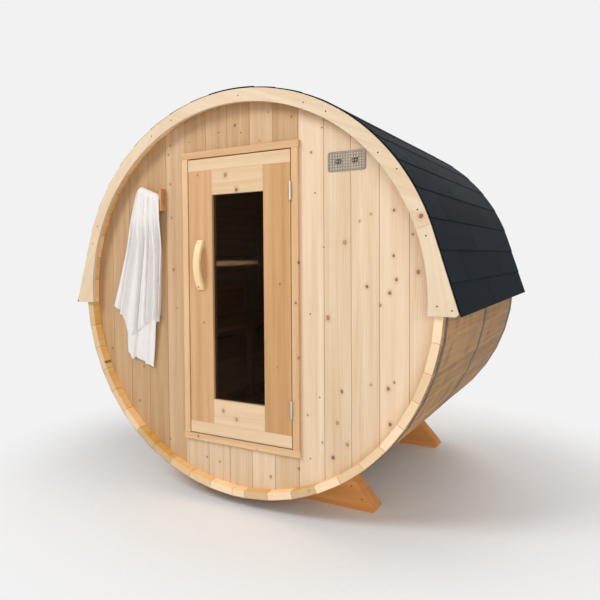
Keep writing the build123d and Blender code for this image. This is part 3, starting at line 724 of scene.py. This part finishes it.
class SAUNA_OT_screws(bpy.types.Operator):
    """Sinks the screws into the bargeboards, the wall, the cradles and the handles"""
    bl_idname = "sauna.screws"
    bl_label = "Screws"

    def execute(self, context):
        radius = context.scene.sauna.screw_radius
        dark = steel("browned steel screw", ("#4a3a2c", "#65513e"), 0.5)
        faces = ((-FASCIA_FACE, 1), (FASCIA_FACE, -1))
        for name, body, slot, places in (
                ("fascia_screws", "barrel", "fascia_wood",
                 [(side * x, y, z, side) for x, z in FASCIA_SCREWS for y, side in faces]),
                ("wall_screws", "barrel", "wall_boards", [(x, WALL_FRONT, z, 1) for x, z in WALL_SCREWS]),
                ("cradle_screws", "barrel", "cradle_wood",
                 [(side * x, CRADLE_FRONT, z - AXIS_HEIGHT, 1) for x, z in CRADLE_SCREWS for side in (-1, 1)]),
                ("handle_screws", "door", "handle_wood",
                 [(x, DOOR_FRONT - HANDLE_DEPTH, z, 1) for x, z in HANDLE_SCREWS])):
            mesh = bmesh.new()
            for x, y, z, side in places:
                sunk = SCREW_DEPTH / 2 - SCREW_PROUD
                screw_head(mesh, (x, y + side * sunk, z + AXIS_HEIGHT), (0, -side, 0), radius)
            finished(name, mesh, dark, body, smooth=40)
        return {"FINISHED"}


class SAUNA_OT_roof(bpy.types.Operator):
    """Finishes the bargeboards and the deck, and lays the shingles"""
    bl_idname = "sauna.roof"
    bl_label = "Roof"

    def execute(self, context):
        settings = context.scene.sauna
        for part, turn in (("left", 60), ("crown", 157), ("right", 98)):
            across, along = cos(radians(turn)), sin(radians(turn))
            knots = [(x * across + z * along, z * across - x * along, radius) for x, z, radius in FASCIA_KNOTS]
            wood = cedar(f"planed cedar bargeboard, {part}", settings.fascia_pale, settings.fascia_warm, axes="ZYX",
                         turn=turn, share=0.18, tone=0.05, key=turn, knots=knots)
            for end in ("front", "back"):
                paint_node(f"fascia_{end}_{part}", wood)
        deck = cedar("sawn cedar roof deck", linear("#d8b282"), linear("#a9794c"), axes="polar",
                     origin=(0, 0, AXIS_HEIGHT))
        for side in ("left", "right"):
            paint_node(f"roof_deck_{side}", deck)
        felt = asphalt("asphalt shingles with charcoal grit", settings.shingle_colour)
        draw = random.Random(7)
        front, back = -ROOF_END, ROOF_END
        flare = radians(FLARE_ANGLE)
        half_run = (ROOF_RADIUS * sin(flare) + EAVE_DROP) / cos(flare) + ROOF_RADIUS * (pi / 2 - flare)
        courses = int(half_run // settings.shingle_exposure) + 1
        for side in ("left", "right"):
            whole = bmesh.new()
            whole.faces.layers.float.new("tone_and_painted_shade")
            for n in range(courses):
                run = n * settings.shingle_exposure
                length = min(settings.shingle_exposure + SHINGLE_LAP, half_run - run)
                first = front + settings.shingle_length * (0.35 if n % 2 else 0.8)
                cuts = [front]
                while first < back - 0.1:
                    cuts.append(first + draw.uniform(-SHINGLE_STRAY, SHINGLE_STRAY))
                    first += settings.shingle_length
                cuts.append(back)
                # The felt under this course, painted darkest so that the slits show painted shade
                join(whole, shingle(run, min(settings.shingle_exposure, length), front, back, FELT_AND_SHADE_SHEET, FELT_AND_SHADE_SHEET, -1.0))
                for near, far in pairwise(cuts):
                    join(whole, shingle(run, length, near + SHINGLE_SLIT / 2, far - SHINGLE_SLIT / 2,
                                        SHINGLE_BUTT, SHINGLE_HEAD, draw.random()))
            if side == "left":
                bmesh.ops.scale(whole, vec=(-1, 1, 1), verts=whole.verts)
            bmesh.ops.recalc_face_normals(whole, faces=whole.faces)
            obj = finished(f"shingle_courses_{side}", whole, felt, "barrel", smooth=30)
            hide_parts(f"shingles_{side}")
        cap = bmesh.new()
        cap.faces.layers.float.new("tone_and_painted_shade")
        count = round((back - front) / RIDGE_CAP_LENGTH)
        step = (back - front) / count
        for n in range(count):
            near = front + n * step
            join(cap, shingle(half_run - RIDGE_CAP_HALF, 2 * RIDGE_CAP_HALF, near + 0.001, near + step - 0.001,
                              RIDGE_CAP_THICKNESS, RIDGE_CAP_THICKNESS, draw.random()))
        bmesh.ops.recalc_face_normals(cap, faces=cap.faces)
        finished("ridge_cap", cap, felt, "barrel", smooth=30)
        return {"FINISHED"}


class SAUNA_OT_cradles(bpy.types.Operator):
    """Finishes the cradles"""
    bl_idname = "sauna.cradles"
    bl_label = "Cradles"

    def execute(self, context):
        settings = context.scene.sauna
        wood = cedar("rough cedar cradle timber", settings.cradle_pale, settings.cradle_warm, axes="ZYX",
                     share=0.2, rough=0.75)
        for name in ("cradle_front", "cradle_back"):
            paint_node(name, wood)
        return {"FINISHED"}


class SAUNA_OT_cabin(bpy.types.Operator):
    """Finishes the benches and the floor"""
    bl_idname = "sauna.cabin"
    bl_label = "Cabin"

    def execute(self, context):
        wood = cedar("planed cedar bench slats", linear("#f0c896"), linear("#c98f58"), axes="XZY", pitch=0.114,
                     shift=0.06, share=0.2)
        for name in ("bench_left", "bench_right", "floor"):
            paint_node(name, wood)
        return {"FINISHED"}


class SAUNA_OT_towel(bpy.types.Operator):
    """Hangs the towel in folds over its rail"""
    bl_idname = "sauna.towel"
    bl_label = "Towel"

    def execute(self, context):
        settings = context.scene.sauna
        paint_node("towel_hook", cedar("oiled cedar rail", linear("#c98f55"), linear("#94602f")))
        cloth = bmesh.new()
        chart = cloth.loops.layers.uv.new("UVMap")
        bmesh.ops.create_grid(cloth, x_segments=100, y_segments=190, size=0.5)
        flat = settings.towel_width, settings.towel_length
        for face in cloth.faces:
            for loop in face.loops:
                loop[chart].uv = [(loop.vert.co[n] + 0.5) * flat[n] for n in (0, 1)]
        for v in cloth.verts:
            v.co = hanging(v.co.x + 0.5, 0.5 - v.co.y)
        bmesh.ops.recalc_face_normals(cloth, faces=cloth.faces)
        bmesh.ops.solidify(cloth, geom=cloth.faces[:], thickness=settings.towel_cloth)
        bmesh.ops.recalc_face_normals(cloth, faces=cloth.faces)
        towel = finished("towel_hanging", cloth, terry("white cotton terry", settings.towel_colour), "barrel",
                         smooth=80)
        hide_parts("towel")
        return {"FINISHED"}


STEPS = (SAUNA_OT_stage, SAUNA_OT_barrel, SAUNA_OT_walls, SAUNA_OT_door, SAUNA_OT_handles, SAUNA_OT_fittings,
         SAUNA_OT_screws, SAUNA_OT_roof, SAUNA_OT_cradles, SAUNA_OT_cabin, SAUNA_OT_towel)


class SAUNA_PT_panel(bpy.types.Panel):
    """The sauna's steps and settings"""
    bl_idname = "SAUNA_PT_panel"
    bl_label = "Sauna"
    bl_space_type = "VIEW_3D"
    bl_region_type = "UI"
    bl_category = "Sauna"

    def draw(self, context):
        for name in SaunaSettings.__annotations__:
            self.layout.prop(context.scene.sauna, name)
        for step in STEPS:
            self.layout.operator(step.bl_idname)


def register():
    """Registers the settings, the steps and the panel."""
    for cls in (SaunaSettings, *STEPS, SAUNA_PT_panel):
        bpy.utils.register_class(cls)
    bpy.types.Scene.sauna = PointerProperty(type=SaunaSettings)


def unregister():
    """Takes them away again."""
    del bpy.types.Scene.sauna
    for cls in (SAUNA_PT_panel, *reversed(STEPS), SaunaSettings):
        bpy.utils.unregister_class(cls)


def main():
    """Registers the steps and runs every one in order."""
    register()
    for step in STEPS:
        group, name = step.bl_idname.split(".")
        getattr(getattr(bpy.ops, group), name)()


if __name__ == "__main__":
    main()
